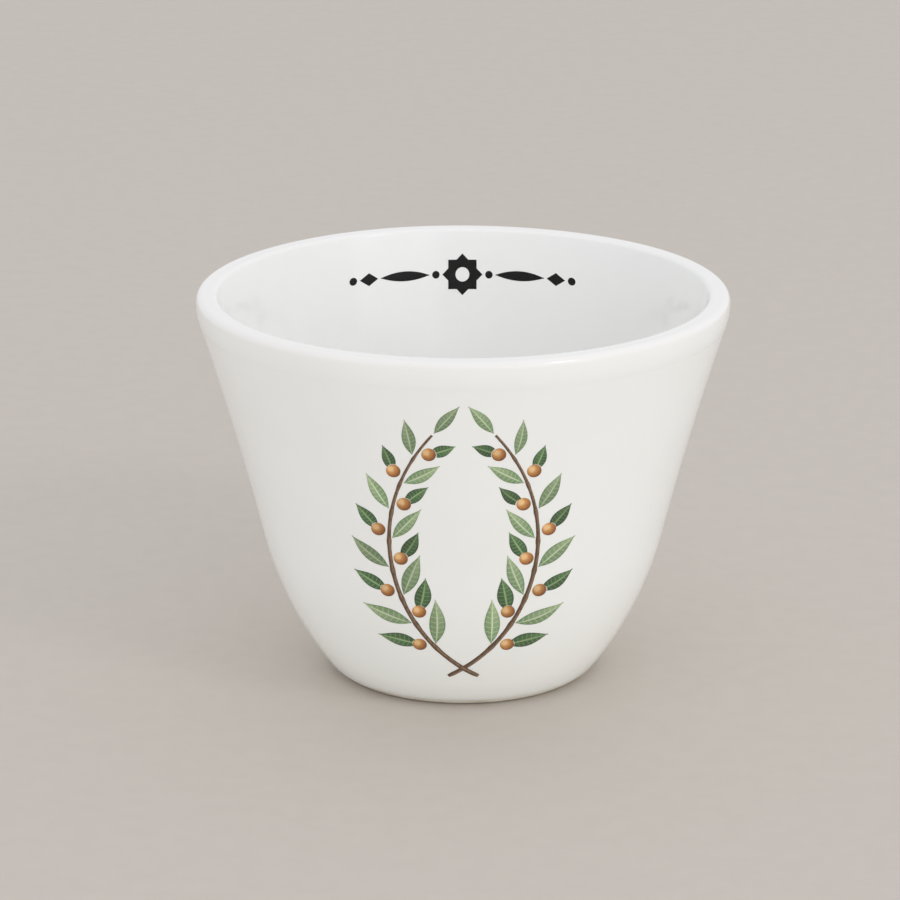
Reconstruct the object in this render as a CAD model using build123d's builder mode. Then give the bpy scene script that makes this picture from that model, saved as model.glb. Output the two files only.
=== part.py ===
from build123d import *
import os
from math import cos, radians, sin

# A handleless coffee cup: a porcelain body, its glaze, and prints in fired enamel.
# The origin is the centre of the plane that the foot stands on, +Z is up and the front print faces -Y.
# Sections are drawn with the distance from the cup's axis as X and the height as Y.

# Outside form, in millimetres and degrees
RIM_DIAMETER = 62.0
CUP_HEIGHT = 45.7
FLARE_ANGLE = 16.0  # lean of the wall under the lip, from upright
BELLY_DIAMETER = 47.0  # where the flare turns into the belly
BELLY_HEIGHT = 17.0
FOOT_DIAMETER = 30.2  # where the belly meets the ground, before the foot is rounded
FOOT_ROUND = 1.4
LIP_ROLL = 0.15  # how far the lip stands proud of the outside wall
LIP_CREASE_ROUND = 0.8

# Wall, floor and foot
WALL = 2.5
FLOOR_THICKNESS = 3.0
FLOOR_ROUND = 7.0
FOOT_RING_WIDTH = 3.2
FOOT_RING_EDGE_ROUND = 0.5
FOOT_WELL_DEPTH = 1.4
FOOT_WELL_ROUND = 0.6

# Glaze and enamel
GLAZE = 0.2
BARE_FOOT_HEIGHT = 0.7  # wiped free of glaze up to here
ENAMEL = 0.06
ENAMEL_CLEARANCE = 0.07  # between the enamel and the curved glaze that it lies on
ENAMEL_GAP = 0.08  # white line that is left between two colours

# Front print: two leafy sprigs that cross at the bottom and bow outwards into an open wreath
PRINT_FOOT_GAP = 4.6
PRINT_RIM_GAP = 4.2
SPRIG_SPREAD = 16.4  # between the stems where they are widest
SPRIG_OPENING = 7.0  # between the stems at their tips
SPRIG_CROSSING = 1.7  # how far each stem's lower end passes the middle
STEM_WIDTH = 0.62
LEAF_PAIRS = 8
FIRST_PAIR = 6.4  # along the stem from its lower end
LEAF_LENGTH = 7.0  # from the middle of the stem
LEAF_WIDTH = 2.1
LEAF_ANGLE = 40.0  # between a leaf and its stem
LEAF_TAPER = 0.32  # share of its size that a leaf at the tip has lost
BERRY_DIAMETER = 1.6  # one berry at the base of each dark leaf

# Inner print: a star between two rows of dots, slips and lozenges, on the back of the inside wall
ORNAMENT_RIM_GAP = 5.4  # from the top of the cup down to the middle of the star
STAR_DIAMETER = 4.9
STAR_EYE_DIAMETER = 1.7
DOT_DIAMETER = 0.9
SLIP_LENGTH = 5.9
SLIP_WIDTH = 1.15
LOZENGE_LENGTH = 2.2
LOZENGE_WIDTH = 1.5
ORNAMENT_GAP = 0.35  # between two neighbours in the row

os.makedirs("parts", exist_ok=True)

# The outside wall, from the lip down to the ground: a long shallow flare, then the belly
lip_radius = (WALL + LIP_ROLL) / 2
lip_centre = Vector(RIM_DIAMETER / 2 - lip_radius, CUP_HEIGHT - lip_radius)
flare_angle = radians(FLARE_ANGLE)
down_the_flare = Vector(-sin(flare_angle), -cos(flare_angle))
out_of_the_flare = Vector(cos(flare_angle), -sin(flare_angle))
rim_point = lip_centre + out_of_the_flare * (lip_radius - LIP_ROLL)
belly_point = Vector(BELLY_DIAMETER / 2, BELLY_HEIGHT)
foot_point = Vector(FOOT_DIAMETER / 2, 0)
floor_level = FOOT_WELL_DEPTH + FLOOR_THICKNESS
well_radius = FOOT_DIAMETER / 2 - FOOT_RING_WIDTH

with BuildLine():
    flare = TangentArc(rim_point, belly_point, tangent=down_the_flare)
    belly = TangentArc(belly_point, foot_point, tangent=flare % 1)
under_ground = 1 + 2 * WALL / belly.length  # place on the belly's circle, past the ground


def inset(arc, position, depth):
    """Point at a depth under the outside wall, square to one of its arcs."""
    along = arc % position
    return arc @ position - Vector(-along.Y, along.X) * depth


def draw_wall(depth):
    """Draw the wall's two arcs at a depth, from the lip to under the ground, and give both ends."""
    upper = TangentArc(inset(flare, 0, depth), inset(flare, 1, depth), tangent=flare % 0)
    lower = TangentArc(upper @ 1, inset(belly, under_ground, depth), tangent=belly % 0)
    return upper @ 0, lower @ 1


def inside_of_wall(depth, base_level):
    """Region from the axis to the wall at a depth, above a level and below the lip's middle."""
    with BuildSketch() as region:
        with BuildLine():
            top, bottom = draw_wall(depth)
            mouth = inset(flare, 0, 2 * WALL)
            Polyline(bottom, (0, bottom.Y), (0, mouth.Y), mouth, top)
        make_face()
        with Locations((0, base_level)):
            Rectangle(RIM_DIAMETER, CUP_HEIGHT, align=Align.MIN, mode=Mode.INTERSECT)
    return region


def cavity(skin):
    """Half section of the hollow that holds the coffee, widened by a skin."""
    with BuildSketch() as hollow:
        add(inside_of_wall(WALL - skin, floor_level - skin).sketch)
        corner = hollow.vertices().group_by(Axis.Y)[0].sort_by(Axis.X)[-1]
        fillet(corner, FLOOR_ROUND + skin)
    return hollow


def foot_well(skin):
    """Half section of the recess under the foot, widened by a skin."""
    with BuildSketch() as well:
        Rectangle(well_radius + skin, FOOT_WELL_DEPTH + skin, align=Align.MIN)
        corner = well.vertices().group_by(Axis.Y)[-1].sort_by(Axis.X)[-1]
        fillet(corner, FOOT_WELL_ROUND + skin)
    return well


def half_section(skin):
    """Half section of the cup with a skin taken off every glazed surface."""
    with BuildSketch() as section:
        add(inside_of_wall(skin, 0).sketch)
        with Locations(Location(lip_centre, 180)):
            Circle(lip_radius - skin)
        crease = section.vertices().sort_by_distance(rim_point)[0]
        fillet(crease, LIP_CREASE_ROUND + skin)
        add(cavity(skin).sketch, mode=Mode.SUBTRACT)
        add(foot_well(skin).sketch, mode=Mode.SUBTRACT)
        ring_inside, ring_outside = section.vertices().group_by(Axis.Y)[0].sort_by(Axis.X)
        fillet(ring_inside, FOOT_RING_EDGE_ROUND)
        outer_edge = section.vertices().sort_by_distance(ring_outside)[0]
        fillet(outer_edge, FOOT_ROUND)
    return section


# The porcelain is the cup without its skin of glaze, and the glaze is that skin above the bare foot
with BuildSketch(Plane.XZ) as bisque_section:
    add(half_section(GLAZE).sketch)

with BuildSketch(Plane.XZ) as glaze_section:
    add(half_section(0).sketch)
    with Locations((0, BARE_FOOT_HEIGHT)):
        Rectangle(RIM_DIAMETER, CUP_HEIGHT, align=Align.MIN, mode=Mode.INTERSECT)
    add(bisque_section.sketch_local, mode=Mode.SUBTRACT)
well_skin, outer_skin = glaze_section.sketch.faces().sort_by(SortBy.AREA)

with BuildPart() as porcelain_body:
    revolve(bisque_section.sketch, axis=Axis.Z)
porcelain_body.part.label = "porcelain_body"
export_step(porcelain_body.part, "parts/porcelain_body.step")

with BuildPart() as glaze_coat:
    revolve(outer_skin, axis=Axis.Z)
glaze_coat.part.label = "glaze_coat"
export_step(glaze_coat.part, "parts/glaze_coat.step")

with BuildPart() as foot_well_glaze:
    revolve(well_skin, axis=Axis.Z)
foot_well_glaze.part.label = "foot_well_glaze"
export_step(foot_well_glaze.part, "parts/foot_well_glaze.step")


def enamel_band(depth, outward):
    """Band of enamel all round the cup, lying on the wall at a depth, on its outward or its inward side."""
    back = depth - outward * ENAMEL_CLEARANCE
    face = back - outward * ENAMEL
    with BuildSketch(Plane.XZ) as strip:
        with BuildLine():
            back_top, back_bottom = draw_wall(back)
            face_top, face_bottom = draw_wall(face)
            Line(back_top, face_top)
            Line(back_bottom, face_bottom)
        make_face()
    with BuildPart() as band:
        revolve(strip.sketch, axis=Axis.Z)
    return band


# The right sprig's stem; everything on it is drawn once and mirrored
sprig_bottom = PRINT_FOOT_GAP + STEM_WIDTH / 2
sprig_top = CUP_HEIGHT - PRINT_RIM_GAP - LEAF_LENGTH * (1 - LEAF_TAPER)
with BuildLine():
    stem = ThreePointArc(
        (-SPRIG_CROSSING, sprig_bottom),
        (SPRIG_SPREAD / 2, (sprig_bottom + sprig_top) / 2),
        (SPRIG_OPENING / 2, sprig_top),
    )
pair_pitch = (stem.length - FIRST_PAIR) / LEAF_PAIRS
pair_distances = [FIRST_PAIR + pair_pitch * i for i in range(LEAF_PAIRS)]
dark_turns = [LEAF_ANGLE if i % 2 else -LEAF_ANGLE for i in range(LEAF_PAIRS)]
stem_standoff = STEM_WIDTH / 2 + ENAMEL_GAP
berry_standoff = (stem_standoff + BERRY_DIAMETER / 2) / sin(radians(LEAF_ANGLE))


def off_stem(distance, turn, standoff):
    """Point at a standoff from a place on the stem, in a direction turned from the stem's."""
    direction = (stem % (distance / stem.length)).rotate(Axis.Z, turn)
    return stem @ (distance / stem.length) + direction * standoff


def draw_leaf(distance, turn, standoff):
    """Draw one pointed leaf that starts at a standoff from the stem, turned from the stem's line."""
    size = 1 - LEAF_TAPER * distance / stem.length
    base = off_stem(distance, turn, standoff)
    tip = off_stem(distance, turn, LEAF_LENGTH * size)
    with BuildLine() as outline:
        SagittaArc(base, tip, LEAF_WIDTH * size / 2)
        SagittaArc(tip, base, LEAF_WIDTH * size / 2)
    make_face(outline.edges())


def draw_berries(diameter):
    """Draw the round berries of both sprigs."""
    for distance, turn in zip(pair_distances, dark_turns):
        with Locations(off_stem(distance, turn, berry_standoff)):
            Circle(diameter / 2)
    mirror(about=Plane.YZ)


def draw_stems(width):
    """Draw both stems, crossing near their lower ends."""
    SlotArc(stem, width)
    mirror(about=Plane.YZ)


with BuildSketch(Plane.XZ) as berry_print:
    draw_berries(BERRY_DIAMETER)

with BuildSketch(Plane.XZ) as stem_print:
    draw_stems(STEM_WIDTH)

with BuildSketch(Plane.XZ) as kept_white:
    draw_berries(BERRY_DIAMETER + 2 * ENAMEL_GAP)
    draw_stems(STEM_WIDTH + 2 * ENAMEL_GAP)

with BuildSketch(Plane.XZ) as dark_leaf_print:
    for distance, turn in zip(pair_distances, dark_turns):
        draw_leaf(distance, turn, berry_standoff)
    mirror(about=Plane.YZ)
    add(kept_white.sketch_local, mode=Mode.SUBTRACT)

with BuildSketch(Plane.XZ) as light_leaf_print:
    for distance, turn in zip(pair_distances, dark_turns):
        draw_leaf(distance, -turn, stem_standoff)
    draw_leaf(stem.length, 0, stem_standoff)
    mirror(about=Plane.YZ)
    add(kept_white.sketch_local, mode=Mode.SUBTRACT)
    add(dark_leaf_print.sketch_local, mode=Mode.SUBTRACT)

# Each colour of the front print is its outline carried forward on to the outside of the glaze
outer_enamel = enamel_band(0, outward=1)

with BuildPart() as front_print_stems:
    extrude(stem_print.sketch, amount=RIM_DIAMETER)
    add(outer_enamel.part, mode=Mode.INTERSECT)
front_print_stems.part.label = "front_print_stems"
export_step(front_print_stems.part, "parts/front_print_stems.step")

with BuildPart() as front_print_dark_leaves:
    extrude(dark_leaf_print.sketch, amount=RIM_DIAMETER)
    add(outer_enamel.part, mode=Mode.INTERSECT)
front_print_dark_leaves.part.label = "front_print_dark_leaves"
export_step(front_print_dark_leaves.part, "parts/front_print_dark_leaves.step")

with BuildPart() as front_print_light_leaves:
    extrude(light_leaf_print.sketch, amount=RIM_DIAMETER)
    add(outer_enamel.part, mode=Mode.INTERSECT)
front_print_light_leaves.part.label = "front_print_light_leaves"
export_step(front_print_light_leaves.part, "parts/front_print_light_leaves.step")

with BuildPart() as front_print_berries:
    extrude(berry_print.sketch, amount=RIM_DIAMETER)
    add(outer_enamel.part, mode=Mode.INTERSECT)
front_print_berries.part.label = "front_print_berries"
export_step(front_print_berries.part, "parts/front_print_berries.step")

# The inner print: the right half of the row is drawn and mirrored, with the star in the middle
ornament_level = CUP_HEIGHT - ORNAMENT_RIM_GAP
first_dot = (STAR_DIAMETER + DOT_DIAMETER) / 2 + ORNAMENT_GAP
slip_start = first_dot + DOT_DIAMETER / 2 + ORNAMENT_GAP
slip_end = slip_start + SLIP_LENGTH
lozenge_start = slip_end + ORNAMENT_GAP
lozenge_middle = lozenge_start + LOZENGE_LENGTH / 2
lozenge_end = lozenge_start + LOZENGE_LENGTH
last_dot = lozenge_end + ORNAMENT_GAP + DOT_DIAMETER / 2

with BuildSketch(Plane.XZ) as ornament_print:
    with Locations((first_dot, ornament_level), (last_dot, ornament_level)):
        Circle(DOT_DIAMETER / 2)
    with BuildLine():
        slip = SagittaArc((slip_start, ornament_level), (slip_end, ornament_level), SLIP_WIDTH / 2)
        SagittaArc(slip @ 1, slip @ 0, SLIP_WIDTH / 2)
    make_face()
    with BuildLine():
        Polyline(
            (lozenge_start, ornament_level),
            (lozenge_middle, ornament_level + LOZENGE_WIDTH / 2),
            (lozenge_end, ornament_level),
            (lozenge_middle, ornament_level - LOZENGE_WIDTH / 2),
            close=True,
        )
    make_face()
    mirror(about=Plane.YZ)
    with Locations((0, ornament_level)):
        RegularPolygon(STAR_DIAMETER / 2, 4)
        RegularPolygon(STAR_DIAMETER / 2, 4, rotation=45)
        Circle(STAR_EYE_DIAMETER / 2, mode=Mode.SUBTRACT)

with BuildPart() as inner_print_ornament:
    extrude(ornament_print.sketch, amount=-RIM_DIAMETER)
    add(enamel_band(WALL, outward=-1).part, mode=Mode.INTERSECT)
inner_print_ornament.part.label = "inner_print_ornament"
export_step(inner_print_ornament.part, "parts/inner_print_ornament.step")
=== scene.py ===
"""Looks of a small handleless coffee cup: white glaze, bare foot and prints in fired enamel.

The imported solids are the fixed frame. Sizes are in millimetres and repeat those of the solids. Meshes are
written in metres in the same frame: +Z is up, and the front print faces -Y.
"""

import logging
import math
from abc import ABC, abstractmethod
from collections.abc import Mapping, Sequence
from dataclasses import dataclass, field
from enum import Enum

import bmesh
import bpy
import numpy as np
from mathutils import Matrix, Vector


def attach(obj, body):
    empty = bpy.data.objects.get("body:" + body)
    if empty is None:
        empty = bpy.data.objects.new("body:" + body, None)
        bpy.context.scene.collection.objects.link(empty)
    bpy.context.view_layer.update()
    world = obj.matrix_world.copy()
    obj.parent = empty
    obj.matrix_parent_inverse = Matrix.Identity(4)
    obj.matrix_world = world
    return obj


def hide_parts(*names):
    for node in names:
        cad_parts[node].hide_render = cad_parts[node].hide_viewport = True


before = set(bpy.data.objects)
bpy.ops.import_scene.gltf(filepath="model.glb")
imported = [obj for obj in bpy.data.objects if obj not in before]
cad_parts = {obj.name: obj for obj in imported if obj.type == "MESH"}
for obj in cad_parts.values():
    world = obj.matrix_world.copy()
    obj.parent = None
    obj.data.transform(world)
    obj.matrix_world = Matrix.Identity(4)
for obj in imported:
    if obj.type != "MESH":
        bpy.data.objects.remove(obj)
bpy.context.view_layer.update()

log = logging.getLogger("coffee_cup")

MM = 0.001
PHOTO_WIDTH = 900  # pixels, the frame that the camera was fitted in
FOLD_ANGLE = 42.0  # degrees, from which a fold is drawn sharp
FILM_MARKS = ("along", "across", "tone")  # what each point of a print stores for its enamel
MID_TONE = 0.5
NOISE_SPAN = (0.3, 0.7)  # where nearly all values of a noise lie

Pair = tuple[float, float]
Place = tuple[float, float, float]
Colour = tuple[float, float, float, float]
Ramp = tuple[float, float, float, float]  # two limits of a value, and what it becomes there
Waves = tuple[tuple[float, int, float], ...]  # share, lobes and shift of each wave round the cup
Tree = bpy.types.NodeTree
Inputs = dict[str, object]


def linear(code: str) -> Colour:
    """Turn an sRGB hex colour into linear values for a shader.

    Args:
        code: Colour written as #RRGGBB.

    Returns:
        Red, green, blue and alpha.
    """
    shares = [int(code[i : i + 2], 16) / 255 for i in (1, 3, 5)]
    light = [s / 12.92 if s <= 0.04045 else ((s + 0.055) / 1.055) ** 2.4 for s in shares]
    return (light[0], light[1], light[2], 1.0)


def per_metre(size: float) -> float:
    """Give the texture scale whose features are about one size in millimetres."""
    return 1 / (size * MM)


def find_sockets(side: Sequence[bpy.types.NodeSocket]) -> dict[str, bpy.types.NodeSocket]:
    """Give the sockets on one side of a node by identifier, and by name where that is free."""
    return {s.name: s for s in reversed(side)} | {s.identifier: s for s in side}


def add_node(
    tree: Tree,
    kind: str,
    links: Mapping[str, object] | Sequence[object] = (),
    output: str = "",
    stops: Sequence[tuple[float, str]] = (),
    **settings: object,
) -> bpy.types.NodeSocket | None:
    """Add a shader node with its settings and links.

    Args:
        tree: Node tree of a material or of the world.
        kind: Blender's name for the type of node.
        links: Inputs by identifier or name, or in the node's own order, each with its value or with the
            output that feeds it.
        output: Identifier or name of the wanted output, where that isn't the first.
        stops: Positions and hex colours of a colour ramp, from left to right.
        settings: Properties of the node itself.

    Returns:
        The wanted output, or None for a node that has none.
    """
    node = tree.nodes.new(kind)
    for name, value in settings.items():
        setattr(node, name, value)
    sockets = find_sockets(node.inputs)
    if not isinstance(links, Mapping):
        links = {s.identifier: value for s, value in zip(node.inputs, links)}
    for name, value in links.items():
        if isinstance(value, bpy.types.NodeSocket):
            tree.links.new(value, sockets[name])
        else:
            sockets[name].default_value = value
    for i, (position, code) in enumerate(stops):
        elements = node.color_ramp.elements
        if i == 0:
            elements.remove(elements[-1])
            elements[0].position = position
        element = elements[0] if i == 0 else elements.new(position)
        element.color = linear(code)
    if output:
        return find_sockets(node.outputs)[output]
    return node.outputs[0] if node.outputs else None


@dataclass(frozen=True)
class Finish(ABC):
    """What a surface is made of and how it was finished."""

    name: str

    @abstractmethod
    def paint(self, tree: Tree) -> Inputs:
        """Add the nodes of the finish and give the inputs of its shader."""

    def material(self) -> bpy.types.Material:
        """Make the material of the finish.

        Returns:
            The new material, with one shader.
        """
        material = bpy.data.materials.new(self.name)
        material.use_nodes = True
        tree = material.node_tree
        tree.nodes.clear()
        shader = add_node(tree, "ShaderNodeBsdfPrincipled", self.paint(tree))
        add_node(tree, "ShaderNodeOutputMaterial", {"Surface": shader})
        return material


@dataclass(frozen=True)
class WhiteGlaze(Finish):
    """Clear white feldspar glaze, dipped and fired glossy on porcelain.

    It is nearly mirror smooth and milky white. It runs thin over the lip, where the warmer body shows
    through, and gathers a little cooler in the crease, the floor corner and along the foot.
    """

    name: str = "glossy_white_feldspar_glaze"
    thin: str = "#F5F3EE"
    even: str = "#F6F6F2"
    pooled: str = "#ECEDE8"
    cloud: str = "#F2F0EA"
    even_depths: Pair = (0.45, 0.6)  # shares of full glaze between which the colour holds
    cloud_size: float = 14.0
    cloud_ramp: Ramp = (0.45, 0.75, 0.0, 0.35)
    ripple_size: float = 5.0  # slow unevenness of a dipped coat
    ripple_height: float = 0.016
    peel_size: float = 0.9  # faint skin that breaks up the sharpest reflections
    peel_height: float = 0.0012
    gloss: Pair = (0.09, 0.16)
    ior: float = 1.5

    def paint(self, tree: Tree) -> Inputs:
        """Colour the glaze by the depth stored on the mesh, and cloud and ripple it with slow noise.

        Args:
            tree: Node tree of the material.

        Returns:
            Inputs of the shader.
        """
        low, high = self.even_depths
        colours = [(0.0, self.thin), (low, self.even), (high, self.even), (1.0, self.pooled)]
        place = add_node(tree, "ShaderNodeTexCoord", output="Object")
        depth = add_node(tree, "ShaderNodeAttribute", output="Fac", attribute_name="glaze_depth")
        coat = add_node(tree, "ShaderNodeValToRGB", {"Fac": depth}, stops=colours)
        noises = []
        patterns = ((self.cloud_size, 3.0, 0.55), (self.ripple_size, 1.0, 0.4), (self.peel_size, 1.0, 0.5))
        for size, detail, rough in patterns:
            pattern = {"Vector": place, "Scale": per_metre(size), "Detail": detail, "Roughness": rough}
            noises.append(add_node(tree, "ShaderNodeTexNoise", pattern))
        clouds, ripple, peel = noises
        share = add_node(tree, "ShaderNodeMapRange", (clouds, *self.cloud_ramp))
        blend = {"Factor_Float": share, "A_Color": coat, "B_Color": linear(self.cloud)}
        colour = add_node(tree, "ShaderNodeMix", blend, "Result_Color", data_type="RGBA")
        gloss = add_node(tree, "ShaderNodeMapRange", (clouds, *NOISE_SPAN, *self.gloss))
        waves = {"Height": ripple, "Distance": self.ripple_height * MM, "Strength": 1.0}
        waved = add_node(tree, "ShaderNodeBump", waves)
        pores = {"Height": peel, "Distance": self.peel_height * MM, "Strength": 1.0, "Normal": waved}
        skin = add_node(tree, "ShaderNodeBump", pores)
        return {"Base Color": colour, "Roughness": gloss, "IOR": self.ior, "Normal": skin}


@dataclass(frozen=True)
class BarePorcelain(Finish):
    """Fired porcelain without glaze, sponged smooth before the firing.

    It is matt ivory with a fine sugary grain, and grey where the foot has been set down and slid about.
    """

    name: str = "bare_fired_porcelain"
    pale: str = "#E7E1D6"
    warm: str = "#D8D0C1"
    scuff: str = "#A39A8D"
    grain_size: float = 0.35  # coarser than real grain, which is too fine to show
    grain_height: float = 0.02
    mottle_size: float = 4.0
    scuff_size: float = 1.6
    scuff_ramp: Ramp = (0.45, 0.65, 0.1, 0.75)
    scuff_top: float = 0.3  # the ring is scuffed only this high above what it stands on
    roughness: float = 0.72
    ior: float = 1.5

    def paint(self, tree: Tree) -> Inputs:
        """Mottle and grain the porcelain, and scuff it near the ground.

        Args:
            tree: Node tree of the material.

        Returns:
            Inputs of the shader.
        """
        place = add_node(tree, "ShaderNodeTexCoord", output="Object")
        level = add_node(tree, "ShaderNodeSeparateXYZ", {"Vector": place}, "Z")
        noises = []
        patterns = ((self.mottle_size, 4.0, 0.5), (self.scuff_size, 5.0, 0.7), (self.grain_size, 2.0, 0.5))
        for size, detail, rough in patterns:
            pattern = {"Vector": place, "Scale": per_metre(size), "Detail": detail, "Roughness": rough}
            noises.append(add_node(tree, "ShaderNodeTexNoise", pattern))
        mottle, marks, grain = noises
        colours = [(0.35, self.pale), (0.68, self.warm)]
        body = add_node(tree, "ShaderNodeValToRGB", {"Fac": mottle}, stops=colours)
        ground = (level, 0.0, self.scuff_top * MM, 1.0, 0.0)
        near_ground = add_node(tree, "ShaderNodeMapRange", ground, interpolation_type="SMOOTHSTEP")
        broken = add_node(tree, "ShaderNodeMapRange", (marks, *self.scuff_ramp))
        scuffed = add_node(tree, "ShaderNodeMath", (near_ground, broken), operation="MULTIPLY")
        blend = {"Factor_Float": scuffed, "A_Color": body, "B_Color": linear(self.scuff)}
        colour = add_node(tree, "ShaderNodeMix", blend, "Result_Color", data_type="RGBA")
        grit = {"Height": grain, "Distance": self.grain_height * MM, "Strength": 1.0}
        bump = add_node(tree, "ShaderNodeBump", grit)
        return {"Base Color": colour, "Roughness": self.roughness, "IOR": self.ior, "Normal": bump}


@dataclass(frozen=True)
class LeafEnamel(Finish):
    """Green on-glaze enamel of one leaf colour, printed in tones and fired to a satin gloss.

    Each leaf runs from a deep base to a paler tip, one half lies in shade, and a light midrib and slanting
    veins are left open. No two leaves have quite the same tone.
    """

    base: str
    middle: str
    tip: str
    shade: str
    midrib: str
    edge: str
    drift: str
    shade_ramp: Ramp = (-0.1, 0.35, 0.0, 0.62)  # across the leaf
    vein_pairs: float = 9.0
    vein_slant: float = 2.6
    vein_ramp: Ramp = (0.72, 1.0, 0.0, 0.42)
    rib_ramp: Ramp = (0.05, 0.17, 0.85, 0.0)  # away from the midrib
    edge_ramp: Ramp = (0.74, 0.98, 0.0, 0.6)  # away from the midrib
    tone_ramp: Ramp = (0.0, 1.0, 0.8, 1.22)
    streaks_along: float = 2.2
    streaks_across: float = 5.0
    streak_step: float = 37.0  # sets the streaks of one leaf apart from the next one's
    streak_ramp: Ramp = (0.42, 0.72, 0.0, 0.6)
    streak_height: float = 0.01
    roughness: Pair = (0.26, 0.38)
    ior: float = 1.55

    def paint(self, tree: Tree) -> Inputs:
        """Draw each leaf by the places along and across it that the mesh stores.

        Args:
            tree: Node tree of the material.

        Returns:
            Inputs of the shader.
        """
        smooth = {"interpolation_type": "SMOOTHSTEP"}
        along, across, tone = (
            add_node(tree, "ShaderNodeAttribute", output="Fac", attribute_name=mark) for mark in FILM_MARKS
        )
        from_rib = add_node(tree, "ShaderNodeMath", (across,), operation="ABSOLUTE")
        stretches = ((along, self.streaks_along), (across, self.streaks_across), (tone, self.streak_step))
        strokes = [add_node(tree, "ShaderNodeMath", pair, operation="MULTIPLY") for pair in stretches]
        brush = add_node(tree, "ShaderNodeCombineXYZ", strokes)
        pattern = {"Vector": brush, "Scale": 1.0, "Detail": 3.0, "Roughness": 0.6}
        streaks = add_node(tree, "ShaderNodeTexNoise", pattern)
        swept = add_node(tree, "ShaderNodeMath", (from_rib, -self.vein_slant), operation="MULTIPLY")
        slanted = (along, self.vein_pairs * math.tau, swept)
        turns = add_node(tree, "ShaderNodeMath", slanted, operation="MULTIPLY_ADD")
        wave = add_node(tree, "ShaderNodeMath", (turns,), operation="SINE")
        veins = add_node(tree, "ShaderNodeMapRange", (wave, *self.vein_ramp), **smooth)
        ribs = add_node(tree, "ShaderNodeMapRange", (from_rib, *self.rib_ramp), **smooth)
        layers = (
            (add_node(tree, "ShaderNodeMapRange", (across, *self.shade_ramp), **smooth), self.shade),
            (add_node(tree, "ShaderNodeMapRange", (streaks, *self.streak_ramp)), self.drift),
            (add_node(tree, "ShaderNodeMath", (veins, ribs), operation="MAXIMUM"), self.midrib),
            (add_node(tree, "ShaderNodeMapRange", (from_rib, *self.edge_ramp), **smooth), self.edge),
        )
        wash = [(0.0, self.base), (0.42, self.middle), (1.0, self.tip)]
        painted = add_node(tree, "ShaderNodeValToRGB", {"Fac": along}, stops=wash)
        for share, code in layers:
            blend = {"Factor_Float": share, "A_Color": painted, "B_Color": linear(code)}
            painted = add_node(tree, "ShaderNodeMix", blend, "Result_Color", data_type="RGBA")
        brightness = add_node(tree, "ShaderNodeMapRange", (tone, *self.tone_ramp))
        colour = add_node(tree, "ShaderNodeHueSaturation", {"Value": brightness, "Color": painted})
        satin = add_node(tree, "ShaderNodeMapRange", (streaks, *NOISE_SPAN, *self.roughness))
        ridges = {"Height": streaks, "Distance": self.streak_height * MM, "Strength": 1.0}
        bump = add_node(tree, "ShaderNodeBump", ridges)
        return {"Base Color": colour, "Roughness": satin, "IOR": self.ior, "Normal": bump}


class LeafColour(Enum):
    """The two greens that the leaves are printed in."""

    DARK = LeafEnamel(
        name="dark_green_fired_enamel",
        base="#2F4A2E",
        middle="#42643F",
        tip="#658657",
        shade="#34502F",
        midrib="#94AF7A",
        edge="#2B4029",
        drift="#536F45",
    )
    LIGHT = LeafEnamel(
        name="light_green_fired_enamel",
        base="#658657",
        middle="#829B70",
        tip="#A9BC8C",
        shade="#6C885C",
        midrib="#CBD6B2",
        edge="#5B7A4E",
        drift="#95AA89",
    )


@dataclass(frozen=True)
class StemEnamel(Finish):
    """Brown on-glaze enamel, drawn as a woody twig with a lit middle, dark sides and bark flecks."""

    name: str = "brown_fired_enamel"
    lit: str = "#97795F"
    side: str = "#563C28"
    fleck: str = "#6E563E"
    fleck_length: float = 0.9
    fleck_width: float = 0.22
    fleck_height: float = 0.01
    fleck_ramp: Ramp = (0.48, 0.62, 0.0, 0.8)
    roughness: float = 0.32
    ior: float = 1.55

    def paint(self, tree: Tree) -> Inputs:
        """Round the twig by the place across it that the mesh stores, and fleck it.

        Args:
            tree: Node tree of the material.

        Returns:
            Inputs of the shader.
        """
        across = add_node(tree, "ShaderNodeAttribute", output="Fac", attribute_name="across")
        place = add_node(tree, "ShaderNodeTexCoord", output="Object")
        round_twig = add_node(tree, "ShaderNodeMapRange", (across, -1.0, 1.0, 0.0, 1.0))
        bands = [(0.0, self.side), (0.3, self.lit), (0.55, self.fleck), (1.0, self.side)]
        twig = add_node(tree, "ShaderNodeValToRGB", {"Fac": round_twig}, stops=bands)
        width, length = per_metre(self.fleck_width), per_metre(self.fleck_length)
        stretched = add_node(tree, "ShaderNodeMapping", {"Vector": place, "Scale": (width, width, length)})
        bark = add_node(tree, "ShaderNodeTexNoise", {"Vector": stretched, "Scale": 1.0, "Detail": 3.0})
        share = add_node(tree, "ShaderNodeMapRange", (bark, *self.fleck_ramp))
        blend = {"Factor_Float": share, "A_Color": twig, "B_Color": linear(self.side)}
        colour = add_node(tree, "ShaderNodeMix", blend, "Result_Color", data_type="RGBA")
        ridges = {"Height": bark, "Distance": self.fleck_height * MM, "Strength": 1.0}
        bump = add_node(tree, "ShaderNodeBump", ridges)
        return {"Base Color": colour, "Roughness": self.roughness, "IOR": self.ior, "Normal": bump}


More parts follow.
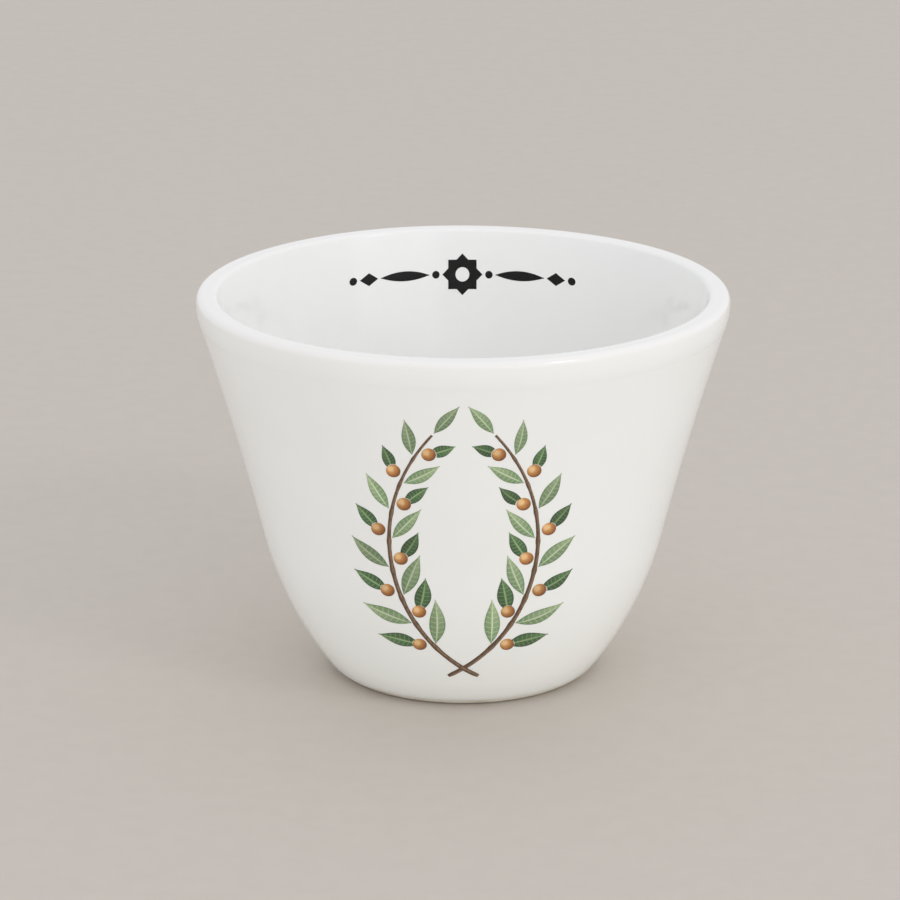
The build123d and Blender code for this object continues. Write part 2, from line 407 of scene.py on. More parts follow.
@dataclass(frozen=True)
class BerryEnamel(Finish):
    """Amber on-glaze enamel, laid on as small domes and printed as round berries.

    A pale light spot sits high on the left, the lower right turns brown, and the skin is a little mottled.
    """

    name: str = "amber_fired_enamel"
    light: str = "#E9BE86"
    amber: str = "#C68C4F"
    deep: str = "#9A6232"
    rim: str = "#6B4223"
    spot: Pair = (-0.35, 0.38)
    mottle_size: float = 0.35
    mottle_share: float = 0.35
    skin_ramp: Ramp = (0.15, 1.75, 0.0, 1.0)  # away from the light spot
    tone_ramp: Ramp = (0.0, 1.0, 0.88, 1.12)
    roughness: float = 0.24
    ior: float = 1.55

    def paint(self, tree: Tree) -> Inputs:
        """Paint each berry by the places on its disc that the mesh stores.

        Args:
            tree: Node tree of the material.

        Returns:
            Inputs of the shader.
        """
        along, across, tone = (
            add_node(tree, "ShaderNodeAttribute", output="Fac", attribute_name=mark) for mark in FILM_MARKS
        )
        place = add_node(tree, "ShaderNodeTexCoord", output="Object")
        on_disc = add_node(tree, "ShaderNodeCombineXYZ", (along, across, 0.0))
        ends = {"Vector": on_disc, "Vector_001": (*self.spot, 0.0)}
        from_spot = add_node(tree, "ShaderNodeVectorMath", ends, "Value", operation="DISTANCE")
        pattern = {"Vector": place, "Scale": per_metre(self.mottle_size), "Detail": 2.0}
        mottle = add_node(tree, "ShaderNodeTexNoise", pattern)
        mottled = (mottle, self.mottle_share, from_spot)
        uneven = add_node(tree, "ShaderNodeMath", mottled, operation="MULTIPLY_ADD")
        in_range = add_node(tree, "ShaderNodeMapRange", (uneven, *self.skin_ramp))
        tones = [(0.0, self.light), (0.2, self.light), (0.4, self.amber), (0.72, self.deep), (1.0, self.rim)]
        painted = add_node(tree, "ShaderNodeValToRGB", {"Fac": in_range}, stops=tones)
        brightness = add_node(tree, "ShaderNodeMapRange", (tone, *self.tone_ramp))
        colour = add_node(tree, "ShaderNodeHueSaturation", {"Value": brightness, "Color": painted})
        return {"Base Color": colour, "Roughness": self.roughness, "IOR": self.ior}


@dataclass(frozen=True)
class BlackEnamel(Finish):
    """Black on-glaze enamel, screen printed: dense and satin, with faintly thinner, browner patches."""

    name: str = "black_fired_enamel"
    dense: str = "#070707"
    thin: str = "#151210"
    patch_size: float = 0.8
    roughness: Pair = (0.45, 0.55)
    ior: float = 1.5
    sheen: float = 0.25  # its matt pigment gives back less than a clear glaze

    def paint(self, tree: Tree) -> Inputs:
        """Vary the black and its gloss in small patches.

        Args:
            tree: Node tree of the material.

        Returns:
            Inputs of the shader.
        """
        place = add_node(tree, "ShaderNodeTexCoord", output="Object")
        pattern = {"Vector": place, "Scale": per_metre(self.patch_size), "Detail": 3.0}
        patches = add_node(tree, "ShaderNodeTexNoise", pattern)
        shades = [(0.45, self.dense), (0.72, self.thin)]
        colour = add_node(tree, "ShaderNodeValToRGB", {"Fac": patches}, stops=shades)
        satin = add_node(tree, "ShaderNodeMapRange", (patches, *NOISE_SPAN, *self.roughness))
        return {"Base Color": colour, "Roughness": satin, "IOR": self.ior, "Specular IOR Level": self.sheen}


@dataclass(frozen=True)
class PaleFloor(Finish):
    """Matt studio paper: pale, even and without gloss.

    It lights the cup like white paper, and is seen a tone deeper, also mirrored in the glaze, so that the
    cup stands out.
    """

    name: str = "pale_matt_paper"
    paper: str = "#E8E4DC"
    pale: str = "#CCC4BA"
    shade: str = "#CAC2B8"
    mottle_size: float = 3.0
    roughness: float = 0.9

    def paint(self, tree: Tree) -> Inputs:
        """Mottle the paper where it is looked at, straight or in the glaze.

        Args:
            tree: Node tree of the material.

        Returns:
            Inputs of the shader.
        """
        place = add_node(tree, "ShaderNodeTexCoord", output="Object")
        pattern = {"Vector": place, "Scale": per_metre(self.mottle_size), "Detail": 3.0}
        mottle = add_node(tree, "ShaderNodeTexNoise", pattern)
        tones = [(0.35, self.pale), (0.65, self.shade)]
        seen = add_node(tree, "ShaderNodeValToRGB", {"Fac": mottle}, stops=tones)
        rays = add_node(tree, "ShaderNodeLightPath").node.outputs
        looked_at = rays["Is Camera Ray"]
        for kind in ("Is Glossy Ray", "Is Transmission Ray"):
            looked_at = add_node(tree, "ShaderNodeMath", (looked_at, rays[kind]), operation="MAXIMUM")
        blend = {"Factor_Float": looked_at, "A_Color": linear(self.paper), "B_Color": seen}
        colour = add_node(tree, "ShaderNodeMix", blend, "Result_Color", data_type="RGBA")
        return {"Base Color": colour, "Roughness": self.roughness}


@dataclass(frozen=True)
class Arc:
    """Arc of the wall's half section, with the distance from the cup's axis first and the height second."""

    centre: Pair
    radius: float
    bulge: int  # 1 where the wall swells away from the axis, -1 where it hollows

    @classmethod
    def leaving(cls, start: np.ndarray, end: np.ndarray, direction: np.ndarray) -> "Arc":
        """Make the arc between two points that leaves the first one in a direction.

        Args:
            start: Upper end.
            end: Lower end.
            direction: Unit direction at the upper end.

        Returns:
            The arc.
        """
        chord = end - start
        aside = direction[0] * chord[1] - direction[1] * chord[0]
        half_turn = math.atan2(aside, float(direction @ chord))
        reach = float(np.linalg.norm(chord)) / (2 * math.sin(half_turn))
        centre = start + np.array([-direction[1], direction[0]]) * reach
        return cls((float(centre[0]), float(centre[1])), abs(reach), -1 if reach > 0 else 1)

    def root(self, level: np.ndarray, depth: float) -> np.ndarray:
        """Give the sideways distance from the arc's centre at a level and a depth under the wall."""
        return np.sqrt((self.radius - self.bulge * depth) ** 2 - (level - self.centre[1]) ** 2)

    def reach(self, level: np.ndarray, depth: float) -> np.ndarray:
        """Give the distance from the cup's axis at a level and a depth under the wall."""
        return self.centre[0] + self.bulge * self.root(level, depth)

    def slope(self, level: np.ndarray, depth: float) -> np.ndarray:
        """Give how fast the wall widens with height at a level and a depth under the wall."""
        return -self.bulge * (level - self.centre[1]) / self.root(level, depth)


def round_run(
    centre: np.ndarray, radius: float, turn: np.ndarray, share: np.ndarray | float
) -> tuple[np.ndarray, np.ndarray, np.ndarray | float]:
    """Draw one round of a half section.

    Args:
        centre: Its middle.
        radius: Its radius.
        turn: Angles of its points, up from level.
        share: Share of full glaze, at each point or all over.

    Returns:
        Distances from the axis, heights and the share.
    """
    return centre[0] + radius * np.cos(turn), centre[1] + radius * np.sin(turn), share


class Wall(Enum):
    """The two places that carry a print, each with its side of the axis and its outward sense."""

    OUTSIDE_FRONT = (-1, 1)
    INSIDE_BACK = (1, -1)


@dataclass(frozen=True)
class CupForm:
    """The cup's half section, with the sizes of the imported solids, and its slight warp from the firing.

    The lip is finer here than in the solids: flatter on top, with a tall outer side that runs into the wall.
    """

    rim_diameter: float = 62.0
    height: float = 45.7
    flare_angle: float = 17.6  # of the outside, under the lip
    lining_angle: float = 16.0  # of the inside, as in the solids
    lining_top: Pair = (30.80, 44.05)  # where the solids' wall leaves their lip
    belly_diameter: float = 47.0
    belly_height: float = 17.0
    foot_diameter: float = 30.2
    lip_inner_round: float = 0.6
    lip_shoulder_round: float = 0.8
    lip_side_round: float = 6.5
    lip_shoulder_angle: float = 2.0
    lip_roll: float = 0.02
    crease_round: float = 2.0
    wall: float = 2.5
    floor_level: float = 4.4
    floor_round: float = 7.0
    glaze: float = 0.2
    bare_foot: float = 0.7
    out_of_round: float = 0.14  # most that the wall has drawn in
    oval: Waves = ((0.36, 2, 0.6), (0.14, 3, -1.1))
    oval_power: float = 1.5  # how the drawing in grows towards the lip
    lip_sag: float = 0.1  # most that the lip has sunk
    dip: Waves = ((0.33, 2, -0.9), (0.17, 5, 0.4))
    dip_power: int = 3
    floor_share: Pair = (0.55, 0.75)  # of full glaze, as all the shares below
    corner_share: float = 0.8
    wall_share: float = 0.5
    pool_share: float = 0.3  # more than the wall's, where the inside meets the floor
    pool_height: float = 6.0
    edge_share: Pair = (0.45, 0.05)
    lip_share: float = 0.05
    side_share: Pair = (0.55, 0.3)
    crease_share: float = 0.6
    outer_levels: tuple[float, ...] = (0.9, 1.6, 4.5, 40.0)
    outer_shares: tuple[float, ...] = (1.0, 0.8, 0.5, 0.5)
    run_steps: tuple[int, ...] = (16, 20, 44, 14, 6, 12, 20, 10)  # floor, corner, inside, then over the lip
    outer_steps: int = 76

    @property
    def shoulder_step(self) -> np.ndarray:
        """Step from the middle of the lip's side round to the middle of its shoulder round."""
        turn = math.radians(self.lip_shoulder_angle)
        step = self.lip_side_round - self.lip_shoulder_round
        return np.array([math.cos(turn), math.sin(turn)]) * step

    @property
    def lip_centre(self) -> np.ndarray:
        """Middle of the lip's side round."""
        level = self.height - self.lip_shoulder_round - self.shoulder_step[1]
        return np.array([self.rim_diameter / 2 - self.lip_side_round, level])

    def to_belly(self, start: np.ndarray, angle: float) -> Arc:
        """Make the long shallow arc from a place under the lip to the belly.

        Args:
            start: The place under the lip.
            angle: Lean of the arc there, in degrees.

        Returns:
            The arc.
        """
        lean = math.radians(angle)
        end = np.array([self.belly_diameter / 2, self.belly_height])
        return Arc.leaving(start, end, np.array([-math.sin(lean), -math.cos(lean)]))

    @property
    def flare(self) -> Arc:
        """Arc of the outside from the lip to the belly."""
        lean = math.radians(self.flare_angle)
        outward = np.array([math.cos(lean), -math.sin(lean)])
        start = self.lip_centre + outward * (self.lip_side_round - self.lip_roll)
        return self.to_belly(start, self.flare_angle)

    @property
    def lining(self) -> Arc:
        """Arc that the inside lies parallel to."""
        return self.to_belly(np.array(self.lining_top), self.lining_angle)

    @property
    def belly_normal(self) -> np.ndarray:
        """Outward direction where the flare turns into the belly."""
        slope = float(self.flare.slope(np.array(self.belly_height), 0.0))
        return np.array([1.0, -slope]) / math.hypot(1.0, slope)

    @property
    def belly(self) -> Arc:
        """Round arc from the flare to the ground."""
        outward = self.belly_normal
        start = np.array([self.belly_diameter / 2, self.belly_height])
        end = np.array([self.foot_diameter / 2, 0.0])
        return Arc.leaving(start, end, np.array([outward[1], -outward[0]]))

    def on_arcs(self, level: np.ndarray, depth: float) -> tuple[np.ndarray, np.ndarray]:
        """Find the wall at a depth under its outside.

        Args:
            level: Heights.
            depth: Depth under the outside, square to it.

        Returns:
            Distance from the axis and widening with height, at each height.
        """
        level = np.asarray(level, float)
        joint = self.belly_height - self.belly_normal[1] * depth
        flare = self.flare if depth < self.wall / 2 else self.lining
        lower, upper = np.minimum(level, joint), np.maximum(level, joint)
        reach = np.where(level < joint, self.belly.reach(lower, depth), flare.reach(upper, depth))
        slope = np.where(level < joint, self.belly.slope(lower, depth), flare.slope(upper, depth))
        return reach, slope

    def warp(self, turn: np.ndarray, level: np.ndarray) -> tuple[np.ndarray, np.ndarray]:
        """Give how far the firing moved the wall: inwards and down, never outwards.

        Args:
            turn: Angles round the axis.
            level: Heights.

        Returns:
            Shift away from the axis and shift upwards, both zero or less.
        """
        share = np.clip(np.asarray(level, float) / self.height, 0, 1)
        mean = 0.5
        oval, dip = (
            sum((part * np.cos(lobes * turn + shift) for part, lobes, shift in waves), mean)
            for waves in (self.oval, self.dip)
        )
        return -self.out_of_round * oval * share**self.oval_power, -self.lip_sag * dip * share**self.dip_power

    def on_wall(self, wall: Wall, x: np.ndarray, z: np.ndarray, lift: np.ndarray) -> np.ndarray:
        """Carry points of the front view on to the glazed wall.

        Args:
            wall: Outside front or inside back.
            x: Places to the right of the axis.
            z: Heights.
            lift: Heights above the glaze, square to it.

        Returns:
            Points in millimetres, one row each.
        """
        side, outward = wall.value
        depth = 0.0 if outward > 0 else self.wall
        reach, slope = self.on_arcs(z, depth)
        turn = np.arctan2(side * np.sqrt(reach**2 - x**2), x)
        shift_out, shift_up = self.warp(turn, z)
        reach = self.on_arcs(z - shift_up, depth)[0] + shift_out
        y = side * np.sqrt(reach**2 - x**2)
        push = outward * lift / np.hypot(1.0, slope)
        scale = 1 + push / reach
        return np.stack([x * scale, y * scale, z - push * slope], axis=-1).reshape(-1, 3)

    def skin(self, depth: float) -> np.ndarray:
        """Draw the glazed half section at a depth, from the floor's middle over the lip to the foot.

        Args:
            depth: Depth under the finished glaze.

        Returns:
            Rows of distance from the axis, height and share of full glaze.
        """
        inner = self.wall - depth
        floor = self.floor_level - depth
        fillet = self.floor_round + depth
        belly = self.belly
        flare = self.flare
        corner_height = floor + fillet
        corner_side = math.sqrt((belly.radius - inner - fillet) ** 2 - (corner_height - belly.centre[1]) ** 2)
        corner = np.array([belly.centre[0] + corner_side, corner_height])
        corner_end = math.atan2(corner[1] - belly.centre[1], corner_side)
        shoulder = self.lip_centre + self.shoulder_step
        shoulder_end = math.radians(self.lip_shoulder_angle)
        edge_level = self.height - self.lip_inner_round
        edge_reach, edge_slope = self.on_arcs(np.array(edge_level), self.wall - self.lip_inner_round)
        edge = np.array([float(edge_reach), edge_level])
        edge_start = math.pi - math.atan(float(edge_slope))
        crease = self.crease_centre()
        to_crease = math.atan2(crease[1] - self.lip_centre[1], crease[0] - self.lip_centre[0])
        from_flare = crease - np.array(flare.centre)
        to_wall = math.atan2(-flare.bulge * from_flare[1], -flare.bulge * from_flare[0])
        inner_top = edge[1] + (self.lip_inner_round - depth) * math.sin(edge_start)
        inner_bottom = corner[1] + fillet * math.sin(corner_end)
        crease_radius = self.crease_round + depth
        crease_end = crease[1] + crease_radius * math.sin(to_wall)
        upright = math.pi / 2
        ends = (
            (0, corner[0]),
            (-upright, corner_end),
            (inner_bottom, inner_top),
            (edge_start, upright),
            (edge[0], shoulder[0]),
            (upright, shoulder_end),
            (shoulder_end, to_crease),
            (to_crease + math.pi, to_wall % math.tau),
        )
        floor_run, corner_turn, inner_run, edge_turn, flat_run, shoulder_turn, side_turn, crease_turn = (
            np.linspace(start, end, steps)[:-1] for (start, end), steps in zip(ends, self.run_steps)
        )
        outer_run = np.linspace(crease_end, self.bare_foot + self.glaze, self.outer_steps)
        floor_glaze = np.interp(floor_run, [0, corner[0]], self.floor_share)
        pool = np.clip((inner_bottom + self.pool_height - inner_run) / self.pool_height, 0, 1)
        inner_glaze = self.wall_share + self.pool_share * pool**2
        edge_glaze = np.linspace(*self.edge_share, edge_turn.size)
        side_glaze = np.interp(side_turn, [to_crease, shoulder_end], self.side_share)
        levels, shares = (*self.outer_levels, crease_end), (*self.outer_shares, self.crease_share)
        rows = [
            (floor_run, floor, floor_glaze),
            round_run(corner, fillet, corner_turn, self.corner_share),
            (self.on_arcs(inner_run, inner)[0], inner_run, inner_glaze),
            round_run(edge, self.lip_inner_round - depth, edge_turn, edge_glaze),
            (flat_run, self.height - depth, self.lip_share),
            round_run(shoulder, self.lip_shoulder_round - depth, shoulder_turn, self.lip_share),
            round_run(self.lip_centre, self.lip_side_round - depth, side_turn, side_glaze),
            round_run(crease, crease_radius, crease_turn, self.crease_share),
            (self.on_arcs(outer_run, depth)[0], outer_run, np.interp(outer_run, levels, shares)),
        ]
        return np.concatenate([np.stack(np.broadcast_arrays(*row), axis=-1) for row in rows])

    def crease_centre(self) -> np.ndarray:
        """Find the middle of the small round that joins the lip to the flare.

        Returns:
            The lower point that lies at the right distance from the lip's middle and from the flare's.
        """
        near = self.lip_side_round + self.crease_round
        far = self.flare.radius + self.flare.bulge * self.crease_round
        gap = np.array(self.flare.centre) - self.lip_centre
        distance = float(np.linalg.norm(gap))
        ahead = (near**2 - far**2 + distance**2) / (2 * distance)
        aside = math.sqrt(near**2 - ahead**2)
        unit = gap / distance
        square = np.array([-unit[1], unit[0]])
        choices = [self.lip_centre + unit * ahead + square * aside * sign for sign in (1, -1)]
        return min(choices, key=lambda point: point[1])


def new_piece(
    name: str,
    points: np.ndarray,
    faces: Sequence[Sequence[int]],
    marks: Mapping[str, np.ndarray],
    material: bpy.types.Material,
) -> bpy.types.Object:
    """Make a mesh piece with smooth shading, sharp folds and its stored marks.

    Args:
        name: Name of the piece.
        points: Points in millimetres, one row each.
        faces: Point numbers of each face.
        marks: Values per point that the material reads.
        material: Finish of the whole piece.

    Returns:
        The new object, in the scene.
    """
    mesh = bpy.data.meshes.new(name)
    mesh.from_pydata((np.asarray(points) * MM).tolist(), [], [list(face) for face in faces])
    work = bmesh.new()
    work.from_mesh(mesh)
    bmesh.ops.recalc_face_normals(work, faces=work.faces)
    work.to_mesh(mesh)
    work.free()
    for key, values in marks.items():
        attribute = mesh.attributes.new(key, "FLOAT", "POINT")
        attribute.data.foreach_set("value", np.asarray(values, np.float32).ravel())
    mesh.shade_smooth()
    mesh.set_sharp_from_angle(angle=math.radians(FOLD_ANGLE))
    mesh.materials.append(material)
    piece = bpy.data.objects.new(name, mesh)
    bpy.context.scene.collection.objects.link(piece)
    return piece


def settle(piece: bpy.types.Object, node: str) -> None:
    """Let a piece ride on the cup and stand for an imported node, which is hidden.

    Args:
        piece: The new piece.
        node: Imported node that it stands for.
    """
    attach(piece, "root")
    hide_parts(node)
    log.info("%s stands for %s: %d faces", piece.name, node, len(piece.data.polygons))


@dataclass
class GlazeCoat:
    """The coat of glaze over the inside, the lip and the outside, down to the bare foot."""

    form: CupForm
    finish: WhiteGlaze
    segments: int = 192
    bead_steps: int = 8

    def section(self) -> tuple[np.ndarray, np.ndarray]:
        """Draw the coat's closed half section.

        Returns:
            Rows of distance from the axis, height and share of full glaze, and how far each row warps.
        """
        half = self.form.glaze / 2
        face = self.form.skin(0.0)
        back = self.form.skin(self.form.glaze)[::-1]
        slope = float(self.form.on_arcs(face[-1, 1], half)[1])
        across = np.array([1.0, -slope]) / math.hypot(1.0, slope)
        down = np.array([across[1], -across[0]])
        turns = np.linspace(0, math.pi, self.bead_steps + 2)[1:-1, None]
        round_end = face[-1, :2] - across * half + (across * np.cos(turns) + down * np.sin(turns)) * half
        bead = np.concatenate([round_end, np.ones((self.bead_steps, 1))], axis=1)
        moved = np.concatenate([np.ones(len(face)), np.zeros(len(bead) + len(back))])
        return np.concatenate([face, bead, back]), moved

    def build(self) -> bpy.types.Object:
        """Turn the half section round the axis into one closed shell and dress it.

        Returns:
            The new piece.
        """
        rows, moved = self.section()
        inner = rows[1:-1]
        turn = np.linspace(0, math.tau, self.segments, endpoint=False)
        angle, level = np.meshgrid(turn, inner[:, 1])
        shift_out, shift_up = self.form.warp(angle, level)
        reach = inner[:, :1] + shift_out * moved[1:-1, None]
        height = level + shift_up * moved[1:-1, None]
        rings = np.stack([reach * np.cos(angle), reach * np.sin(angle), height], axis=-1).reshape(-1, 3)
        ends = np.array([[0.0, 0.0, rows[0, 1]], [0.0, 0.0, rows[-1, 1]]])
        points = np.concatenate([rings, ends])
        depth = np.concatenate([np.repeat(inner[:, 2], self.segments), [rows[0, 2], rows[-1, 2]]])
        count = self.segments
        first, last = len(rings), len(rings) + 1
        bottom = (len(inner) - 1) * count
        faces = []
        for k in range(count):
            after = (k + 1) % count
            faces.append((first, k, after))
            faces.append((last, bottom + after, bottom + k))
        for low in range(0, bottom, count):
            high = low + count
            for k in range(count):
                after = (k + 1) % count
                faces.append((low + k, high + k, high + after, low + after))
        piece = new_piece("white_glaze_coat", points, faces, {"glaze_depth": depth}, self.finish.material())
        settle(piece, "glaze_coat")
        return piece


@dataclass
class FiredFoot:
    """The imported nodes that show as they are: the porcelain body's bare foot and the glaze under it."""

    body_finish: BarePorcelain
    glaze: bpy.types.Material

    def dress(self) -> None:
        """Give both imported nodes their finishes."""
        finishes = {"porcelain_body": self.body_finish.material(), "foot_well_glaze": self.glaze}
        for node, material in finishes.items():
            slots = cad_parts[node].data.materials
            slots.clear()
            slots.append(material)
            log.info("%s keeps its packed shape: %s", node, material.name)


def share_grids(start: float, rows: int, columns: int) -> Sequence[np.ndarray]:
    """Give the shares along a shape, from a start to 1, and across it, from -1 to 1."""
    return np.meshgrid(np.linspace(start, 1, rows), np.linspace(-1, 1, columns), indexing="ij")


@dataclass
class Film:
    """Fired enamel on one wall of the cup, gathered patch by patch as closed shells."""

    form: CupForm
    wall: Wall
    sunk: float = 0.03  # how far its underside lies in the glaze
    disc_steps: int = 13
    dome_power: float = 0.6
    points: list[np.ndarray] = field(default_factory=list)
    faces: list[tuple[int, ...]] = field(default_factory=list)
    marks: list[np.ndarray] = field(default_factory=list)

    def add_patch(
        self,
        x: np.ndarray,
        z: np.ndarray,
        relief: np.ndarray,
        along: np.ndarray,
        across: np.ndarray,
        tone: float = MID_TONE,
        ring: bool = False,
    ) -> None:
        """Add one patch of enamel with a top, an underside and an edge.

        Args:
            x: Grid of places to the right of the axis, in the front view.
            z: Grid of heights.
            relief: Grid of heights above the glaze.
            along: Grid of shares along the shape.
            across: Grid of shares across the shape, from -1 to 1.
            tone: Shade of this patch among its like, from 0 to 1.
            ring: Whether the grid's columns close into a ring.
        """
        rows, columns = x.shape
        start = sum(len(p) for p in self.points)
        under = rows * columns
        for lift in (relief, np.full(x.shape, -self.sunk)):
            self.points.append(self.form.on_wall(self.wall, x, z, lift))
        mark = np.stack([np.broadcast_to(v, x.shape) for v in (along, across, tone)], axis=-1)
        self.marks.extend([mark.reshape(-1, len(FILM_MARKS))] * 2)
        number = start + np.arange(under).reshape(rows, columns)
        if ring:
            number = np.concatenate([number, number[:, :1]], axis=1)
        quads = np.stack([number[:-1, :-1], number[1:, :-1], number[1:, 1:], number[:-1, 1:]], axis=-1)
        for a, b, c, d in quads.reshape(-1, 4).tolist():
            self.faces.append((a, b, c, d))
            self.faces.append((d + under, c + under, b + under, a + under))
        borders = [number[0], number[-1]]
        if not ring:
            loop = [number[0], number[1:, -1], number[-1, -2::-1], number[-2::-1, 0]]
            borders = [np.concatenate(loop)]
        for border in borders:
            for a, b in zip(border[:-1].tolist(), border[1:].tolist()):
                self.faces.append((b, a, a + under, b + under))

    def add_disc(
        self, centre: np.ndarray, radius: float, edge: float, crown: float, tone: float = MID_TONE
    ) -> None:
        """Add a round dome.

        Args:
            centre: Its middle in the front view.
            radius: Its radius.
            edge: Relief at its edge.
            crown: Relief in its middle.
            tone: Its shade among its like.
        """
        s, t = share_grids(-1, self.disc_steps, self.disc_steps)
        right = s * np.sqrt(1 - t**2 / 2)
        up = t * np.sqrt(1 - s**2 / 2)
        relief = edge + (crown - edge) * (1 - np.clip(right**2 + up**2, 0, 1)) ** self.dome_power
        self.add_patch(centre[0] + right * radius, centre[1] + up * radius, relief, right, up, tone)

    def piece(self, name: str, finish: Finish) -> bpy.types.Object:
        """Make the gathered patches one piece.

        Args:
            name: Name of the piece.
            finish: Its enamel.

        Returns:
            The new object.
        """
        marks = dict(zip(FILM_MARKS, np.concatenate(self.marks).T))
        return new_piece(name, np.concatenate(self.points), self.faces, marks, finish.material())


@dataclass
class EnamelPrint:
    """A print of fired enamel on the glaze, thinner towards the edges of its shapes."""

    form: CupForm
    relief: float = 0.05
    edge_relief: float = 0.022

    def raised(self, share: np.ndarray) -> np.ndarray:
        """Give the heights above the glaze, from the edge's relief at 0 to the full relief at 1."""
        return self.edge_relief + (self.relief - self.edge_relief) * share


@dataclass
class FrontPrint(EnamelPrint):
    """The outer print: two leafy sprigs that cross at the bottom and bow outwards into an open wreath."""

    foot_gap: float = 4.6
    rim_gap: float = 4.2
    spread: float = 16.4
    opening: float = 7.0
    crossing: float = 1.7
    crossing_reach: float = 1.1  # one twig rises over the other this near to the axis
    crossing_part: float = 0.3  # lower part of the twig's length that this is done in
    stem_width: float = 0.62
    stem_rise: float = 1.5  # times the relief of a leaf
    stem_end: float = 0.5  # length over which its lower end is rounded
    stem_taper: tuple[float, ...] = (0.8, 1.0, 0.82, 0.5)  # shares of its width, from its lower end up
    stem_grid: tuple[int, int] = (150, 7)
    knot_length: float = 0.45
    knot_share: Pair = (0.9, 0.28)  # of the width: between the knots, and added at one
    leaf_pairs: int = 8
    first_pair: float = 6.4
    leaf_length: float = 7.0
    leaf_width: float = 2.1
    leaf_angle: float = 40.0
    leaf_taper: float = 0.32
    leaf_widest: float = 0.44  # share of its length at its widest place
    leaf_power: float = 1.05
    leaf_bend: Pair = (-0.02, 0.07)  # limits of the bend, as shares of its length
    leaf_fullness: Pair = (0.88, 0.99)
    leaf_point: float = 0.045  # least half width, at its ends
    leaf_grid: tuple[int, int] = (30, 11)
    bite_width: float = 0.36  # half width of the leaf where a berry lies, as a share of its width
    berry_diameter: float = 1.6
    berry_relief: Pair = (0.03, 0.12)  # at its edge and in its middle
    white_line: float = 0.08
    seed: int = 11

    def __post_init__(self) -> None:
        """Lay out the right sprig's stem as a round arc through its lower end, widest place and tip."""
        low = self.foot_gap + self.stem_width / 2
        high = self.form.height - self.rim_gap - self.leaf_length * (1 - self.leaf_taper)
        a = np.array([-self.crossing, low])
        b = np.array([self.spread / 2, (low + high) / 2])
        c = np.array([self.opening / 2, high])
        sides = 2 * np.array([b - a, c - b])
        squares = np.array([b @ b - a @ a, c @ c - b @ b])
        self.centre = np.linalg.solve(sides, squares)
        self.radius = float(np.linalg.norm(a - self.centre))
        from_a, from_c = a - self.centre, c - self.centre
        self.start_turn = math.atan2(from_a[1], from_a[0])
        self.length = self.radius * (math.atan2(from_c[1], from_c[0]) - self.start_turn)
        self.random = np.random.default_rng(self.seed)

    @property
    def stem_standoff(self) -> float:
        """Distance from the stem's middle line to the nearest other colour."""
        return self.stem_width / 2 + self.white_line

    @property
    def berry_standoff(self) -> float:
        """Distance from the stem's middle line to a berry's middle, along its leaf."""
        return (self.stem_standoff + self.berry_diameter / 2) / math.sin(math.radians(self.leaf_angle))

    def on_stem(self, distance: np.ndarray | float) -> tuple[np.ndarray, np.ndarray]:
        """Find places on the stem.

        Args:
            distance: Distances along the stem from its lower end.

        Returns:
            Points and unit directions, one row each.
        """
        turn = self.start_turn + np.asarray(distance, float) / self.radius
        ray = np.stack([np.cos(turn), np.sin(turn)], axis=-1)
        return self.centre + ray * self.radius, np.stack([-ray[..., 1], ray[..., 0]], axis=-1)

    def pairs(self) -> list[Pair]:
        """Lay out the pairs of leaves along the stem.

        Returns:
            Each pair's distance along the stem and the turn of its dark leaf, in degrees.
        """
        pitch = (self.length - self.first_pair) / self.leaf_pairs
        turns = (-self.leaf_angle, self.leaf_angle)
        return [(self.first_pair + pitch * i, turns[i % 2]) for i in range(self.leaf_pairs)]

    def off_stem(self, distance: float, turn: float, standoff: float) -> np.ndarray:
        """Find the point at a standoff from a place on the stem.

        Args:
            distance: Place along the stem.
            turn: Direction from the stem's own, in degrees to the left.
            standoff: How far out.

        Returns:
            The point in the front view.
        """
        point, direction = self.on_stem(distance)
        cosine, sine = math.cos(math.radians(turn)), math.sin(math.radians(turn))
        return point + np.array([[cosine, -sine], [sine, cosine]]) @ direction * standoff

    def add_leaf(self, film: Film, distance: float, turn: float, standoff: float, bite: float) -> None:
        """Add one leaf and its mirror image on the other sprig.

        Args:
            film: Enamel that takes the leaf.
            distance: Place on the stem.
            turn: Direction from the stem's own, in degrees to the left.
            standoff: Where the leaf's outline starts, from the stem's middle line.
            bite: Radius of the round that a berry takes out of its base, or 0.
        """
        size = 1 - self.leaf_taper * distance / self.length
        width = self.leaf_width * size
        base = self.off_stem(distance, turn, standoff)
        axis = self.off_stem(distance, turn, self.leaf_length * size) - base
        length = float(np.linalg.norm(axis))
        axis = axis / length
        left = np.array([-axis[1], axis[0]])
        share, side = share_grids(0, *self.leaf_grid)
        notch = np.sqrt(np.clip(bite**2 - (side * width * self.bite_width) ** 2, 0, None)) / length
        run = notch + share * (1 - notch)
        widest, power = self.leaf_widest, self.leaf_power
        tip_power = power * (1 - widest) / widest
        outline = run**power * (1 - run) ** tip_power / (widest**power * (1 - widest) ** tip_power)
        relief = self.raised(1 - side**4)
        for mirrored in (1, -1):
            bend = self.random.uniform(*self.leaf_bend) * math.copysign(1, turn) * length
            curl = bend * 4 * run * (1 - run)
            half = np.maximum(width / 2 * outline * self.random.uniform(*self.leaf_fullness), self.leaf_point)
            tone = self.random.uniform(0, 1)
            place = base + axis * (run * length)[..., None] + left * (side * half + curl)[..., None]
            lit_side = side if turn * mirrored >= 0 else -side
            film.add_patch(place[..., 0] * mirrored, place[..., 1], relief, run, lit_side, tone)

